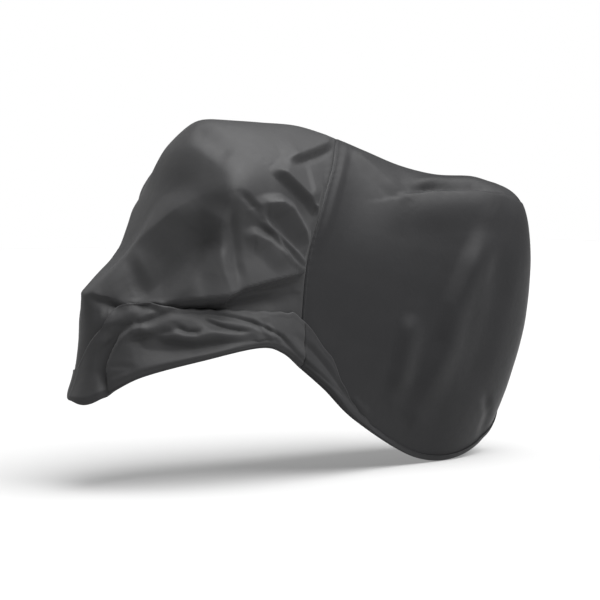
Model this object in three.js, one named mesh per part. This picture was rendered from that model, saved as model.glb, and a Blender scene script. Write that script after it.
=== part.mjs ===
// A motorcycle cover of coated cloth, in the shape in which it hangs. What it covers is left out.
// Millimetres, +Z up. The nose points to -X, the near side to -Y, and Z = 0 is the floor.
import * as THREE from "three";

const clothThickness = 2.4;
const seamGap = 0.5; // between the two panels, along the seam that runs over the top
const foldRadius = { hem: 2.2, skirt: 4 }; // inside the bottom fold, where the cloth turns out and up
const middleFade = 60; // creases die out this close to the middle plane
const seamFade = 0.3; // and this close to the seam, as a share of the way to the next section
const endRun = 0.25; // share of a crease's length over which each end rises
const rimWave = { depth: 0.02, pitch: 74 }; // the gathered rim of the skirt, depth counted in levels
const fullBulge = 10; // from this bulge on, the skirt has its full fold and its full rim wave
const puffShare = 0.85; // of a half wave: how far the skirt comes back to the wall at its rim
const boxFoot = new THREE.Vector3(44, -13, 31.35); // middle of the foot of its box, moved to the origin

// The creases are laid out as seen from the front quarter: across that view, and height.
const quarterView = THREE.MathUtils.degToRad(36);

// Sections round half of the cover, from the middle of the nose to the middle of the tail.
// ridge is [x, z] on the middle plane. The other levels are [x, out, z], out being the distance from it.
// bulge is how far the turned-up skirt stands off the wall on the near side, farKeep the share of the
// section that the far side keeps, columns the faces to the next section, and crisp how sharply the
// section turns at its lower level, from 0, smooth, to 1, a corner.
const sections = [
  {
    name: "nose",
    ridge: [-440, 1374],
    levels: [[-580, 0, 1275], [-675, 0, 1080], [-785, 0, 890], [-962, 0, 735], [-1022, 0, 356]],
    bulge: 4, farKeep: 1, columns: 4, crisp: 0.7,
  },
  {
    name: "nose corner",
    ridge: [-430, 1376],
    levels: [[-565, 70, 1275], [-650, 100, 1090], [-760, 85, 895], [-932, 85, 735], [-988, 95, 350]],
    bulge: 12, farKeep: 0.98, columns: 5, crisp: 0.7,
  },
  {
    name: "cheek",
    ridge: [-400, 1377],
    levels: [[-515, 130, 1272], [-590, 205, 1100], [-690, 190, 890], [-800, 195, 700], [-850, 205, 443]],
    bulge: 24, farKeep: 0.95, columns: 5, crisp: 0.3,
  },
  {
    name: "front point",
    ridge: [-330, 1375],
    levels: [[-430, 180, 1262], [-515, 310, 1110], [-560, 280, 890], [-590, 285, 690], [-620, 290, 506]],
    bulge: 26, farKeep: 0.91, columns: 8, crisp: 0,
  },
  {
    name: "behind the point",
    ridge: [-190, 1370],
    levels: [[-260, 185, 1265], [-330, 290, 1090], [-380, 300, 880], [-410, 310, 680], [-410, 320, 540]],
    bulge: 24, farKeep: 0.87, columns: 8, crisp: 0,
  },
  {
    name: "high flank",
    ridge: [-10, 1360],
    levels: [[-100, 170, 1240], [-190, 268, 1060], [-260, 300, 870], [-300, 315, 670], [-310, 320, 517]],
    bulge: 22, farKeep: 0.83, columns: 8, crisp: 0,
  },
  {
    name: "seam",
    ridge: [175, 1315],
    levels: [[45, 150, 1205], [-85, 255, 1050], [-180, 300, 860], [-218, 315, 665], [-232, 320, 458]],
    bulge: 20, farKeep: 0.78, columns: 4, crisp: 0,
  },
  {
    name: "falling flank",
    ridge: [320, 1269],
    levels: [[215, 135, 1170], [70, 240, 985], [-15, 290, 790], [-70, 310, 590], [-120, 315, 374]],
    bulge: 16, farKeep: 0.73, columns: 3, crisp: 0,
  },
  {
    name: "dip",
    ridge: [490, 1214],
    levels: [[420, 170, 1112], [270, 250, 925], [190, 290, 700], [115, 305, 480], [40, 300, 242]],
    bulge: 8, farKeep: 0.69, columns: 3, crisp: 0,
  },
  {
    name: "rear flank",
    ridge: [660, 1181],
    levels: [[620, 190, 1098], [520, 262, 880], [450, 290, 630], [405, 283, 370], [385, 228, 66]],
    bulge: 0, farKeep: 0.68, columns: 3, crisp: 0,
  },
  {
    name: "rear quarter",
    ridge: [810, 1171],
    levels: [[800, 180, 1105], [790, 262, 880], [740, 280, 600], [665, 262, 300], [600, 186, 39]],
    bulge: 0, farKeep: 0.74, columns: 3, crisp: 0,
  },
  {
    name: "tail corner",
    ridge: [890, 1155],
    levels: [[1003, 135, 1092], [1038, 190, 900], [1014, 190, 600], [925, 175, 320], [835, 118, 96]],
    bulge: 0, farKeep: 0.9, columns: 4, crisp: 0,
  },
  {
    name: "tail",
    ridge: [910, 1150],
    levels: [[1084, 0, 1090], [1118, 0, 900], [1090, 0, 600], [1040, 0, 400], [985, 0, 215]],
    bulge: 0, farKeep: 1, columns: 0, crisp: 0,
  },
];
const seamSection = sections.findIndex((section) => section.name === "seam");
const tailSection = sections.length - 1;
const lowerLevel = 4; // counted from the ridge, which is 0
const hemLevel = 5; // the bottom fold
const ridgeReach = 1.15; // share of its first stretch over which a section stays level at the ridge
const probe = 0.02; // step in s and v over which the directions of the wall are measured

// Where the rim of the turned-up skirt lies against the wall, as [loop position, depth]. A loop position
// is a section's number plus a share of the way to the next, and a depth counts the levels.
const nearRim = [
  [0, 4.72], [0.5, 4.57], [1, 4.4], [1.6, 4.03], [2, 3.97], [2.4, 4.06], [4.6, 4.07], [5.3, 4.06],
  [6, 4.2], [6.6, 4.38], [7, 4.48], [7.4, 4.68], [7.9, 4.86], [8.3, 4.94], [12, 4.94],
];
const farRim = [[0, 4.72], [0.6, 4.82], [1.4, 4.92], [2.2, 4.94], [12, 4.94]];

// Faces down each stretch of a section: five stretches of wall, the bottom fold, then the skirt.
const wallRows = [6, 8, 8, 6, 6];
const foldRows = 4;
const skirtRows = 8;
const sliverShare = 0.3; // a split whose smaller face is under this share of the other split's is a sliver

// Creases of the two panels and of the turned-up skirt. line is a list of [across, height] in the
// quarter view, wide the reach to the left and to the right of the line as it runs, out the height of
// the crease (less than 0 for a trough), ends the share of it left at the first and last point, and
// far the share of it that the far side has.
const frontCreases = [
  {
    name: "apron edge over the skirt", wide: [150, 30], out: 34, ends: [0.1, 0.5], far: 0.6,
    line: [[-500, 708], [-375, 716], [-274, 726], [-218, 755], [-30, 801], [30, 808]],
  },
  {
    name: "set back under the apron", wide: [30, 70], out: -16, ends: [0.3, 0.5], far: 0.4,
    line: [[-400, 676], [-216, 700], [-37, 728]],
  },
  {
    name: "pale upright ridge", wide: [42, 80], out: 15, ends: [0.1, 0.8], far: 0,
    line: [[-247, 1079], [-287, 929], [-297, 829], [-274, 726]],
  },
  {
    name: "dip behind the upright ridge", wide: [44, 36], out: -11, ends: [0.2, 0.3], far: 0,
    line: [[-238, 1010], [-228, 900], [-218, 796]],
  },
  {
    name: "wedge at the top of the seam", wide: [34, 60], out: -26, ends: [0.8, 0.1], far: 0.4,
    line: [[150, 1300], [19, 1243], [-77, 1216]],
  },
  {
    name: "shelf over the wedge", wide: [70, 40], out: 9, ends: [0.5, 0.1], far: 0.4,
    line: [[150, 1345], [0, 1290], [-120, 1256]],
  },
  {
    name: "long trough to the seam", wide: [34, 46], out: -22, ends: [0.2, 0.8], far: 0.5,
    line: [[-112, 1204], [-30, 1133], [26, 1061], [56, 980], [34, 868]],
  },
  {
    name: "long ridge to the seam", wide: [36, 34], out: 11, ends: [0.2, 0.6], far: 0.3,
    line: [[-130, 1186], [-56, 1076], [0, 965], [24, 884]],
  },
  {
    name: "hollow before the seam", wide: [36, 44], out: -17, ends: [0.4, 0.7], far: 0,
    line: [[-100, 1048], [-45, 1006], [0, 920], [27, 836]],
  },
  {
    name: "bright ridge to the apron", wide: [32, 32], out: 13, ends: [0.2, 0.7], far: 0,
    line: [[-160, 1056], [-100, 966], [-44, 895], [27, 821]],
  },
  {
    name: "second trough", wide: [34, 32], out: -11, ends: [0.3, 0.6], far: 0,
    line: [[-150, 985], [-78, 886], [0, 812]],
  },
  {
    name: "curl under the front point", wide: [32, 36], out: 12, ends: [0.1, 0.2], far: 0,
    line: [[-216, 1124], [-195, 1048], [-171, 1004], [-131, 994]],
  },
  {
    name: "low trough", wide: [36, 34], out: -11, ends: [0.2, 0.5], far: 0,
    line: [[-206, 944], [-140, 888], [-40, 822]],
  },
  {
    name: "broad dip before the front point", wide: [90, 90], out: -16, ends: [0.3, 0.3], far: 0.6,
    line: [[-270, 1070], [-433, 927], [-646, 805], [-740, 765]],
  },
  {
    name: "dip in the top", wide: [60, 60], out: -8, ends: [0.4, 0.2], far: 0.4,
    line: [[-378, 1336], [-310, 1290], [-245, 1238]],
  },
  {
    name: "line from the nose tip", wide: [40, 30], out: -12, ends: [0.6, 0.4], far: 0.3,
    line: [[-770, 722], [-705, 697], [-652, 678]],
  },
  {
    name: "valley beside the nose flap", wide: [40, 34], out: -14, ends: [0.4, 0.7], far: 0.3,
    line: [[-600, 640], [-648, 590], [-672, 534], [-690, 456], [-684, 380]],
  },
  {
    name: "wedge on the nose flap", wide: [36, 34], out: 10, ends: [0.2, 0.4], far: 0,
    line: [[-735, 574], [-700, 566], [-660, 596]],
  },
  {
    name: "arc on the nose flap", wide: [34, 40], out: 9, ends: [0.5, 0.2], far: 0,
    line: [[-640, 672], [-700, 640], [-760, 560], [-775, 480]],
  },
];
const rearCreases = [
  {
    name: "flat strip behind the seam", wide: [36, 44], out: 7, ends: [0.6, 0.2], far: 0.6,
    line: [[186, 1296], [152, 1150], [118, 1030], [76, 900]],
  },
  {
    name: "edge of the top, falling", wide: [60, 80], out: 12, ends: [0.2, 0.8], far: 0.7,
    line: [[190, 1284], [287, 1194], [362, 1127], [408, 1086]],
  },
  {
    name: "edge of the top, level", wide: [56, 80], out: 15, ends: [0.9, 0.3], far: 0.7,
    line: [[408, 1086], [520, 1108], [682, 1113], [819, 1094], [880, 1078]],
  },
  {
    name: "hollow of the rear top", wide: [44, 44], out: -12, ends: [0.2, 0.2], far: 0.7,
    line: [[440, 1156], [560, 1146], [700, 1146], [800, 1136]],
  },
  {
    name: "soft ridge below the rear top", wide: [80, 70], out: 10, ends: [0.1, 0.2], far: 0,
    line: [[434, 648], [414, 533], [393, 427], [357, 319]],
  },
  {
    name: "long soft ridge from the tail", wide: [90, 110], out: 14, ends: [0.1, 0.3], far: 0.6,
    line: [[760, 985], [674, 795], [615, 660], [576, 504], [513, 375], [455, 250]],
  },
  {
    name: "hollow beside the tail ridge", wide: [90, 70], out: -9, ends: [0.1, 0.2], far: 0.4,
    line: [[830, 940], [790, 700], [730, 480], [650, 280]],
  },
  {
    name: "small crease at the low tail", wide: [40, 44], out: -8, ends: [0.2, 0.5], far: 0.3,
    line: [[752, 300], [770, 200], [742, 110]],
  },
];
const skirtCreases = [
  {
    name: "waist of the skirt", wide: [34, 40], out: -12, ends: [0.3, 0.3], far: 0,
    line: [[-655, 562], [-587, 579], [-481, 560], [-374, 545], [-273, 558], [-153, 571]],
  },
  {
    name: "roll above the waist", wide: [40, 34], out: 9, ends: [0.3, 0.2], far: 0,
    line: [[-590, 618], [-470, 618], [-330, 620], [-200, 628], [-70, 628]],
  },
  {
    name: "valley beside the nose roll", wide: [34, 30], out: -24, ends: [0.5, 0.8], far: 0,
    line: [[-606, 645], [-650, 562], [-675, 515], [-684, 483], [-692, 420]],
  },
  {
    name: "knob at the skirt's corner", wide: [34, 34], out: 10, ends: [0.4, 0.1], far: 0,
    line: [[-600, 606], [-578, 614], [-540, 618]],
  },
  {
    name: "slanting fold", wide: [30, 34], out: 8, ends: [0.3, 0.1], far: 0,
    line: [[-390, 655], [-300, 610], [-200, 575]],
  },
  {
    name: "roll down the rising skirt", wide: [36, 34], out: 9, ends: [0.3, 0.1], far: 0,
    line: [[-40, 575], [20, 500], [90, 410], [160, 330], [215, 265]],
  },
];

const clothLook = { colour: 0x3c3c3e, roughness: 0.55, metalness: 0 };

// Catmull-Rom between b and c, which a and d stand beside.
function through(a, b, c, d, t) {
  const cube = -a + 3 * b - 3 * c + d;
  const square = 2 * a - 5 * b + 4 * c - d;
  return 0.5 * (2 * b + (c - a) * t + square * t * t + cube * t * t * t);
}

function smoothStep(t) {
  const held = THREE.MathUtils.clamp(t, 0, 1);
  return held * held * (3 - 2 * held);
}

// The points of section number i as [x, out, z], ridge first. Past either end it is mirrored.
function sectionPoints(i) {
  const mirrored = i < 0 || i > tailSection;
  const index = i < 0 ? -i : i > tailSection ? 2 * tailSection - i : i;
  const { ridge, levels } = sections[index];
  const points = [[ridge[0], 0, ridge[1]], ...levels];
  return mirrored ? points.map(([x, out, z]) => [x, -out, z]) : points;
}

// The section at loop position s, which is a section's number plus a share of the way to the next.
function sectionAt(s) {
  const i = Math.min(Math.floor(s), tailSection - 1);
  const near = [i - 1, i, i + 1, i + 2].map(sectionPoints);
  return near[1].map((point, level) =>
    point.map((_, axis) => through(...near.map((section) => section[level][axis]), s - i)),
  );
}

// One of the sections' plain numbers at loop position s.
function sectionValue(key, s) {
  const i = THREE.MathUtils.clamp(Math.floor(s), 0, tailSection - 1);
  return THREE.MathUtils.lerp(sections[i][key], sections[i + 1][key], smoothStep(s - i));
}

// A point of the smooth wall, at loop position s and depth v: v is 0 on the ridge and 5 at the hem.
function smoothWall(s, v) {
  const held = THREE.MathUtils.clamp(s, 0, tailSection);
  const points = sectionAt(held).map((point) => new THREE.Vector3(point[0], -point[1], point[2]));
  const k = Math.min(Math.floor(v), hemLevel - 1);
  const t = v - k;
  const crisp = sectionValue("crisp", held);
  const step = (from, to, share) => points[to].clone().sub(points[from]).multiplyScalar(share);
  const slope = (level) => step(level - 1, level + 1, level === lowerLevel ? 0.5 * (1 - crisp) : 0.5);
  const start = k === 0 ? step(0, 1, ridgeReach).setZ(0) : slope(k);
  const end = k === hemLevel - 1 ? step(k, hemLevel, 1) : slope(k + 1);
  return points[k].multiplyScalar(2 * t ** 3 - 3 * t ** 2 + 1)
    .addScaledVector(start, t ** 3 - 2 * t ** 2 + t)
    .addScaledVector(points[k + 1], -2 * t ** 3 + 3 * t ** 2)
    .addScaledVector(end, t ** 3 - t ** 2);
}

// The outward direction of the smooth wall, and the direction down it.
function wallDirections(s, v) {
  const s0 = Math.max(s - probe, 0);
  const s1 = Math.min(s + probe, tailSection);
  const v0 = Math.max(v - probe, 0);
  const v1 = Math.min(v + probe, hemLevel);
  const along = smoothWall(s1, v).sub(smoothWall(s0, v));
  if (s < probe || s > tailSection - probe) along.set(0, -Math.sign(tailSection / 2 - s), 0);
  const down = smoothWall(s, v1).sub(smoothWall(s, v0)).normalize();
  const outward = new THREE.Vector3().crossVectors(down, along);
  if (outward.length() < 1e-6) outward.set(0, 0, 1);
  return { outward: outward.normalize(), down };
}

// The nearest place of a crease's line to a point: how far off, on which side, and how far along.
function nearestOn(line, across, height) {
  let best = { distance: Infinity, leftward: 0, along: 0 };
  let passed = 0;
  line.slice(1).forEach(([x1, z1], i) => {
    const [x0, z0] = line[i];
    const length = Math.hypot(x1 - x0, z1 - z0);
    const dx = (x1 - x0) / length;
    const dz = (z1 - z0) / length;
    const run = THREE.MathUtils.clamp((across - x0) * dx + (height - z0) * dz, 0, length);
    const offX = across - x0 - run * dx;
    const offZ = height - z0 - run * dz;
    const distance = Math.hypot(offX, offZ);
    if (distance < best.distance) best = { distance, leftward: dx * offZ - dz * offX, along: passed + run };
    passed += length;
  });
  return { ...best, share: best.along / passed };
}

// How far a list of creases lifts the cloth at a point, on the near or the far side.
function creaseHeight(creases, isNear, point) {
  const across = point.x * Math.cos(quarterView) - point.y * Math.sin(quarterView);
  let total = 0;
  for (const crease of creases) {
    const sideShare = isNear ? 1 : crease.far;
    if (sideShare === 0) continue;
    const nearest = nearestOn(crease.line, across, point.z);
    const reach = nearest.leftward > 0 ? crease.wide[0] : crease.wide[1];
    if (nearest.distance >= reach) continue;
    const [first, last] = crease.ends;
    const rise = THREE.MathUtils.lerp(first, 1, smoothStep(nearest.share / endRun));
    const fall = THREE.MathUtils.lerp(last, 1, smoothStep((1 - nearest.share) / endRun));
    const bump = 0.5 + 0.5 * Math.cos((Math.PI * nearest.distance) / reach);
    total += crease.out * sideShare * Math.min(rise, fall) * bump;
  }
  return total;
}

// A point of the creased wall on one side, before the far side is mirrored.
function creasedWall(isNear, s, v) {
  const point = smoothWall(s, v);
  const { outward, down } = wallDirections(s, v);
  const creases = s < seamSection ? frontCreases : rearCreases;
  const fade = smoothStep(-point.y / middleFade) * smoothStep(Math.abs(s - seamSection) / seamFade);
  point.addScaledVector(outward, creaseHeight(creases, isNear, point) * fade);
  return { point, outward, down };
}

// Row numbers: the wall's rows, then the bottom fold's, then the skirt's.
const wallRowCount = wallRows.reduce((sum, rows) => sum + rows, 0);
const rowCount = wallRowCount + foldRows + skirtRows;

function wallDepth(row) {
  let first = 0;
  for (let stretch = 0; stretch < wallRows.length; stretch++) {
    if (row <= first + wallRows[stretch]) return stretch + (row - first) / wallRows[stretch];
    first += wallRows[stretch];
  }
  return hemLevel;
}

// A point of the cloth's outer face: near side or far side, loop position s, row number.
function clothPoint(isNear, s, row) {
  const hemDepth = hemLevel * (isNear ? 1 : sectionValue("farKeep", s));
  let found;
  if (row <= wallRowCount) {
    found = creasedWall(isNear, s, (wallDepth(row) * hemDepth) / hemLevel).point;
  } else if (row <= wallRowCount + foldRows) {
    const turn = (Math.PI * (row - wallRowCount)) / foldRows;
    const hem = creasedWall(isNear, s, hemDepth);
    const radius = foldRadiusAt(isNear, s);
    found = hem.point.addScaledVector(hem.outward, radius * (1 - Math.cos(turn)));
    found.addScaledVector(hem.down, radius * Math.sin(turn));
  } else {
    found = skirtPoint(isNear, s, hemDepth, (row - wallRowCount - foldRows) / skirtRows);
  }
  if (!isNear) found.y = -found.y;
  return found;
}

// How full the skirt is at loop position s, from 0, a plain hem, to 1.
function fullness(isNear, s) {
  return isNear ? smoothStep(sectionValue("bulge", s) / fullBulge) : 0;
}

function foldRadiusAt(isNear, s) {
  return THREE.MathUtils.lerp(foldRadius.hem, foldRadius.skirt, fullness(isNear, s));
}

// The depth at which the skirt's rim lies against the wall, at loop position s.
function rimDepth(isNear, s) {
  const rim = isNear ? nearRim : farRim;
  const next = Math.max(rim.findIndex(([at]) => at >= s), 1);
  const [[s0, v0], [s1, v1]] = [rim[next - 1], rim[next]];
  return THREE.MathUtils.lerp(v0, v1, (s - s0) / (s1 - s0));
}

// A point of the turned-up skirt, which follows the wall behind it. t is 0 at the fold, 1 at the rim.
function skirtPoint(isNear, s, hemDepth, t) {
  const bulge = isNear ? sectionValue("bulge", s) : 0;
  const gathered = t < 1 ? 0 : fullness(isNear, s) * rimWave.depth;
  const wave = gathered * Math.sin((2 * Math.PI * smoothWall(s, hemDepth).x) / rimWave.pitch);
  const behind = creasedWall(isNear, s, hemDepth - (hemLevel - rimDepth(isNear, s)) * t - wave);
  const crease = isNear ? creaseHeight(skirtCreases, isNear, behind.point) * Math.sin(Math.PI * t) : 0;
  const puff = bulge * Math.sin(Math.PI * t * puffShare) + Math.max(crease, -bulge / 2);
  return behind.point.addScaledVector(behind.outward, 2 * foldRadiusAt(isNear, s) + puff);
}

// Loop positions of the mesh's columns, with a seam column where the two panels meet.
const columnPositions = [];
sections.forEach((section, i) => {
  for (let k = 0; k < section.columns; k++) columnPositions.push(i + k / section.columns);
});
columnPositions.push(tailSection);
const seamColumn = columnPositions.indexOf(seamSection);
const lastColumn = columnPositions.length - 1;

// The whole outer face, near and far side, as one mesh. The far side has half the columns and rows,
// and takes the near side's vertices on the lines that they share: the ridge, the nose and the tail.
function outerFace() {
  const vertices = [];
  const columnOf = [];
  const numbers = new Map();
  const vertex = (isNear, column, row) => {
    const shared = row === 0 || column === 0 || column === lastColumn;
    const key = `${isNear || shared} ${column} ${row}`;
    if (!numbers.has(key)) {
      numbers.set(key, vertices.length);
      vertices.push(clothPoint(isNear || shared, columnPositions[column], row));
      columnOf.push(column);
    }
    return numbers.get(key);
  };
  const triangles = [];
  // A four-cornered face is split along the diagonal that lies closer to the cloth at its middle,
  // unless that makes a sliver.
  const split = ([a, b, c, d], middle) => {
    const ways = [[[a, b, c], [a, c, d]], [[a, b, d], [b, c, d]]];
    const miss = [[a, c], [b, d]].map(([from, to]) =>
      vertices[from].clone().lerp(vertices[to], 0.5).distanceTo(middle));
    const least = ways.map((way) => Math.min(...way.map(([p, q, r]) =>
      new THREE.Triangle(vertices[p], vertices[q], vertices[r]).getArea())));
    const wanted = miss[0] <= miss[1] ? 0 : 1;
    return least[wanted] < sliverShare * least[1 - wanted] ? ways[1 - wanted] : ways[wanted];
  };
  const halfway = (i) => (columnPositions[i] + columnPositions[i + 1]) / 2;
  for (let i = 0; i < lastColumn; i++) {
    for (let j = 0; j < rowCount; j++) {
      const places = [[i, j], [i, j + 1], [i + 1, j + 1], [i + 1, j]];
      const ring = places.map(([column, row]) => vertex(true, column, row));
      for (const corners of split(ring, clothPoint(true, halfway(i), j + 0.5))) {
        triangles.push({ corners, column: i });
      }
    }
  }
  for (let i = 0; i < lastColumn; i += 2) {
    for (let j = 0; j < rowCount; j += 2) {
      const places = [[i, j]];
      if (j === 0) places.push([i + 1, j]);
      places.push([i + 2, j]);
      if (i + 2 === lastColumn) places.push([i + 2, j + 1]);
      places.push([i + 2, j + 2], [i, j + 2]);
      if (i === 0) places.push([i, j + 1]);
      const ring = places.map(([column, row]) => vertex(false, column, row));
      const fanColumn = i + 2 === lastColumn ? i : i + 2;
      const start = places.findIndex(([column, row]) => column === fanColumn && row === j + 2);
      const fan = ring.slice(2).map((_, k) =>
        [0, k + 1, k + 2].map((step) => ring[(start + step) % ring.length]));
      const plain = ring.length === 4;
      const chosen = plain ? split(ring, clothPoint(false, columnPositions[i + 1], j + 1)) : fan;
      for (const corners of chosen) triangles.push({ corners, column: i });
    }
  }
  return { vertices, columnOf, triangles };
}

// The outer face's normals, which the sheet's thickness is laid off along.
function faceNormals(face) {
  const geometry = new THREE.BufferGeometry().setFromPoints(face.vertices);
  geometry.setIndex(face.triangles.flatMap((triangle) => triangle.corners));
  geometry.computeVertexNormals();
  const normals = geometry.getAttribute("normal");
  return face.vertices.map((_, i) => new THREE.Vector3().fromBufferAttribute(normals, i));
}

// One panel of the cover: the part of the outer face between two columns, as a closed sheet.
function panel(face, normals, firstColumn, lastPanelColumn) {
  const chosen = face.triangles.filter(({ column }) => column >= firstColumn && column < lastPanelColumn);
  const numbers = new Map();
  const outer = [];
  const inner = [];
  const seamSide = firstColumn === 0 ? -1 : 1;
  const number = (old) => {
    if (!numbers.has(old)) {
      numbers.set(old, outer.length);
      const point = face.vertices[old].clone();
      if (face.columnOf[old] === seamColumn) point.x += (seamSide * seamGap) / 2;
      outer.push(point);
      inner.push(point.clone().addScaledVector(normals[old], -clothThickness));
    }
    return numbers.get(old);
  };
  const faces = chosen.map(({ corners }) => corners.map(number));
  const edges = new Set(faces.flatMap(([a, b, c]) => [`${a} ${b}`, `${b} ${c}`, `${c} ${a}`]));
  const under = outer.length;
  const index = [];
  for (const [a, b, c] of faces) {
    index.push(a, b, c, under + c, under + b, under + a);
    for (const [from, to] of [[a, b], [b, c], [c, a]]) {
      if (edges.has(`${to} ${from}`)) continue;
      index.push(to, from, under + from, to, under + from, under + to);
    }
  }
  const geometry = new THREE.BufferGeometry().setFromPoints([...outer, ...inner]);
  geometry.setIndex(index);
  geometry.translate(-boxFoot.x, -boxFoot.y, -boxFoot.z);
  return geometry;
}

function clothMesh(name, geometry) {
  const material = new THREE.MeshStandardMaterial({
    color: clothLook.colour,
    roughness: clothLook.roughness,
    metalness: clothLook.metalness,
  });
  const mesh = new THREE.Mesh(geometry, material);
  mesh.name = name;
  return mesh;
}

const face = outerFace();
const normals = faceNormals(face);
const cover = new THREE.Group();
cover.add(clothMesh("front_panel", panel(face, normals, 0, seamColumn)));
cover.add(clothMesh("rear_panel", panel(face, normals, seamColumn, lastColumn)));

export default cover;
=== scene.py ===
"""Dresses the draped motorcycle cover: its creased cloth, its stitching, a plain studio and the camera.

The cover's form follows the sections of the solids that it stands for. Its creases are finer.
Lengths in the tables are millimetres, as a maker writes them. Everything built is in metres.
"""

import logging
import math
from dataclasses import dataclass, field
from enum import Enum

import bpy
import numpy as np
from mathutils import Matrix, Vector


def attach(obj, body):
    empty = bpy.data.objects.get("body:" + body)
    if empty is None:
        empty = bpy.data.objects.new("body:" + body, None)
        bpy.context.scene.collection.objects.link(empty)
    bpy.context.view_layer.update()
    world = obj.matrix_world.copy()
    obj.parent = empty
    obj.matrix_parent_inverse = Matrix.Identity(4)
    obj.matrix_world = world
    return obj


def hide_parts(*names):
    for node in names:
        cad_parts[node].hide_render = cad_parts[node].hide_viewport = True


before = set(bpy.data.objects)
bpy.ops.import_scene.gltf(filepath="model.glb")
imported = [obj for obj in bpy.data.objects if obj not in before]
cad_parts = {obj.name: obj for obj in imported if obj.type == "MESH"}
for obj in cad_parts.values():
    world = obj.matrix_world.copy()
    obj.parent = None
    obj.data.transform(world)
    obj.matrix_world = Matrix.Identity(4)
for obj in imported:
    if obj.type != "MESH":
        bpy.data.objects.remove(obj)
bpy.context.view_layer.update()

LOG = logging.getLogger("motorcycle_cover")

MM = 0.001
BODY = "root"

# Middle of the foot of the cover's box, in the sections' own measures. It is the frame's origin.
BOX_FOOT = np.array([44.0, -13.0, 31.35])
# The creases are laid out as seen from the front quarter: across that view, and height.
QUARTER_VIEW = math.radians(36)


class Side(Enum):
    """The two sides of the cover. The skirt is turned up on the near one."""

    NEAR = 1
    FAR = -1


class Panel(Enum):
    """The two cuts of cloth that the seam over the top joins."""

    FRONT = "front_panel"
    REAR = "rear_panel"


@dataclass(frozen=True)
class Section:
    """One section round half of the cover, from the ridge down to the bottom fold.

    Attributes:
        name: where the section is.
        ridge: its top, as (x, height) on the middle plane.
        levels: the five levels under it, as (x, out from the middle plane, height).
        bulge: how far the turned-up skirt stands off the wall on the near side.
        far_keep: share of the section that the far side keeps.
        columns: mesh columns to the next section.
        crisp: how sharply it turns at its lower level, 0 to 1.
        flare: how far its bottom end heads towards the nose.
    """

    name: str
    ridge: tuple[float, float]
    levels: tuple[tuple[float, float, float], ...]
    bulge: float
    far_keep: float
    columns: int
    crisp: float = 0.0
    flare: float = 0.0


@dataclass(frozen=True)
class Crease:
    """One crease of the cloth, laid out in the quarter view.

    Attributes:
        name: what it is on the cover.
        line: its points, as (across, height).
        wide: its reach to the left and to the right of the line as it runs.
        out: its height, less than 0 for a trough.
        ends: share of the height left at its first and last point.
        far: share of it that the far side has.
        sharp: 0 for a soft wave, 1 for a folded edge.
    """

    name: str
    line: tuple[tuple[float, float], ...]
    wide: tuple[float, float]
    out: float
    ends: tuple[float, float] = (0.2, 0.2)
    far: float = 0.0
    sharp: float = 0.3


SECTIONS = (
    Section("nose", (-440, 1374),
            ((-580, 0, 1275), (-675, 0, 1080), (-785, 0, 890), (-962, 0, 735), (-1022, 0, 356)),
            4, 1.0, 14, 0.7, 190.0),
    Section("nose corner", (-430, 1376),
            ((-565, 70, 1275), (-650, 100, 1090), (-760, 85, 895), (-932, 85, 735), (-988, 95, 350)),
            12, 0.98, 24, 0.7, 190.0),
    Section("cheek", (-400, 1377),
            ((-515, 130, 1272), (-590, 205, 1100), (-690, 190, 890), (-800, 195, 700), (-857, 210, 443)),
            24, 0.95, 28, 0.3, 70.0),
    Section("front point", (-330, 1375),
            ((-430, 180, 1262), (-515, 310, 1110), (-560, 280, 890), (-590, 285, 690), (-634, 308, 506)),
            26, 0.91, 34),
    Section("behind the point", (-190, 1370),
            ((-260, 185, 1265), (-330, 290, 1090), (-380, 300, 880), (-410, 310, 680), (-424, 331, 540)),
            24, 0.87, 32),
    Section("high flank", (-10, 1360),
            ((-100, 170, 1240), (-190, 268, 1060), (-260, 300, 870), (-300, 315, 670), (-322, 331, 517)),
            22, 0.83, 34),
    Section("seam", (175, 1315),
            ((45, 150, 1205), (-85, 255, 1050), (-180, 300, 860), (-218, 315, 665), (-240, 328, 458)),
            20, 0.78, 24),
    Section("falling flank", (320, 1269),
            ((215, 135, 1170), (70, 240, 985), (-15, 290, 790), (-70, 310, 590), (-131, 330, 374)),
            16, 0.73, 22),
    Section("dip", (490, 1214),
            ((420, 170, 1112), (270, 250, 925), (190, 290, 700), (115, 305, 480), (40, 300, 242)),
            8, 0.69, 22),
    Section("rear flank", (660, 1181),
            ((620, 190, 1098), (520, 262, 880), (450, 290, 630), (405, 283, 370), (390, 226, 66)),
            0, 0.68, 20),
    Section("rear quarter", (810, 1171),
            ((800, 180, 1105), (790, 262, 880), (740, 280, 600), (680, 256, 300), (655, 184, 45)),
            0, 0.74, 18),
    Section("tail corner", (890, 1155),
            ((1003, 135, 1092), (1038, 190, 900), (1014, 190, 600), (930, 175, 320), (898, 110, 134)),
            0, 0.9, 14),
    Section("tail", (910, 1150),
            ((1084, 0, 1090), (1118, 0, 900), (1090, 0, 600), (1048, 0, 400), (1003, 0, 240)),
            0, 1.0, 0),
)
# Where the rim of the turned-up skirt lies against the wall, as (loop position, depth).
NEAR_RIM = ((0, 4.72), (0.5, 4.57), (1, 4.4), (1.6, 4.03), (2, 3.97), (2.4, 4.06), (4.6, 4.07),
            (5.3, 4.06), (6, 4.2), (6.6, 4.38), (7, 4.48), (7.4, 4.68), (7.9, 4.86), (8.3, 4.94), (12, 4.94))
FAR_RIM = ((0, 4.72), (0.6, 4.82), (1.4, 4.92), (2.2, 4.94), (12, 4.94))
SEAM_SECTION = next(i for i, section in enumerate(SECTIONS) if section.name == "seam")
TAIL_SECTION = len(SECTIONS) - 1
LOWER_LEVEL = 4
HEM_LEVEL = 5

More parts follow.
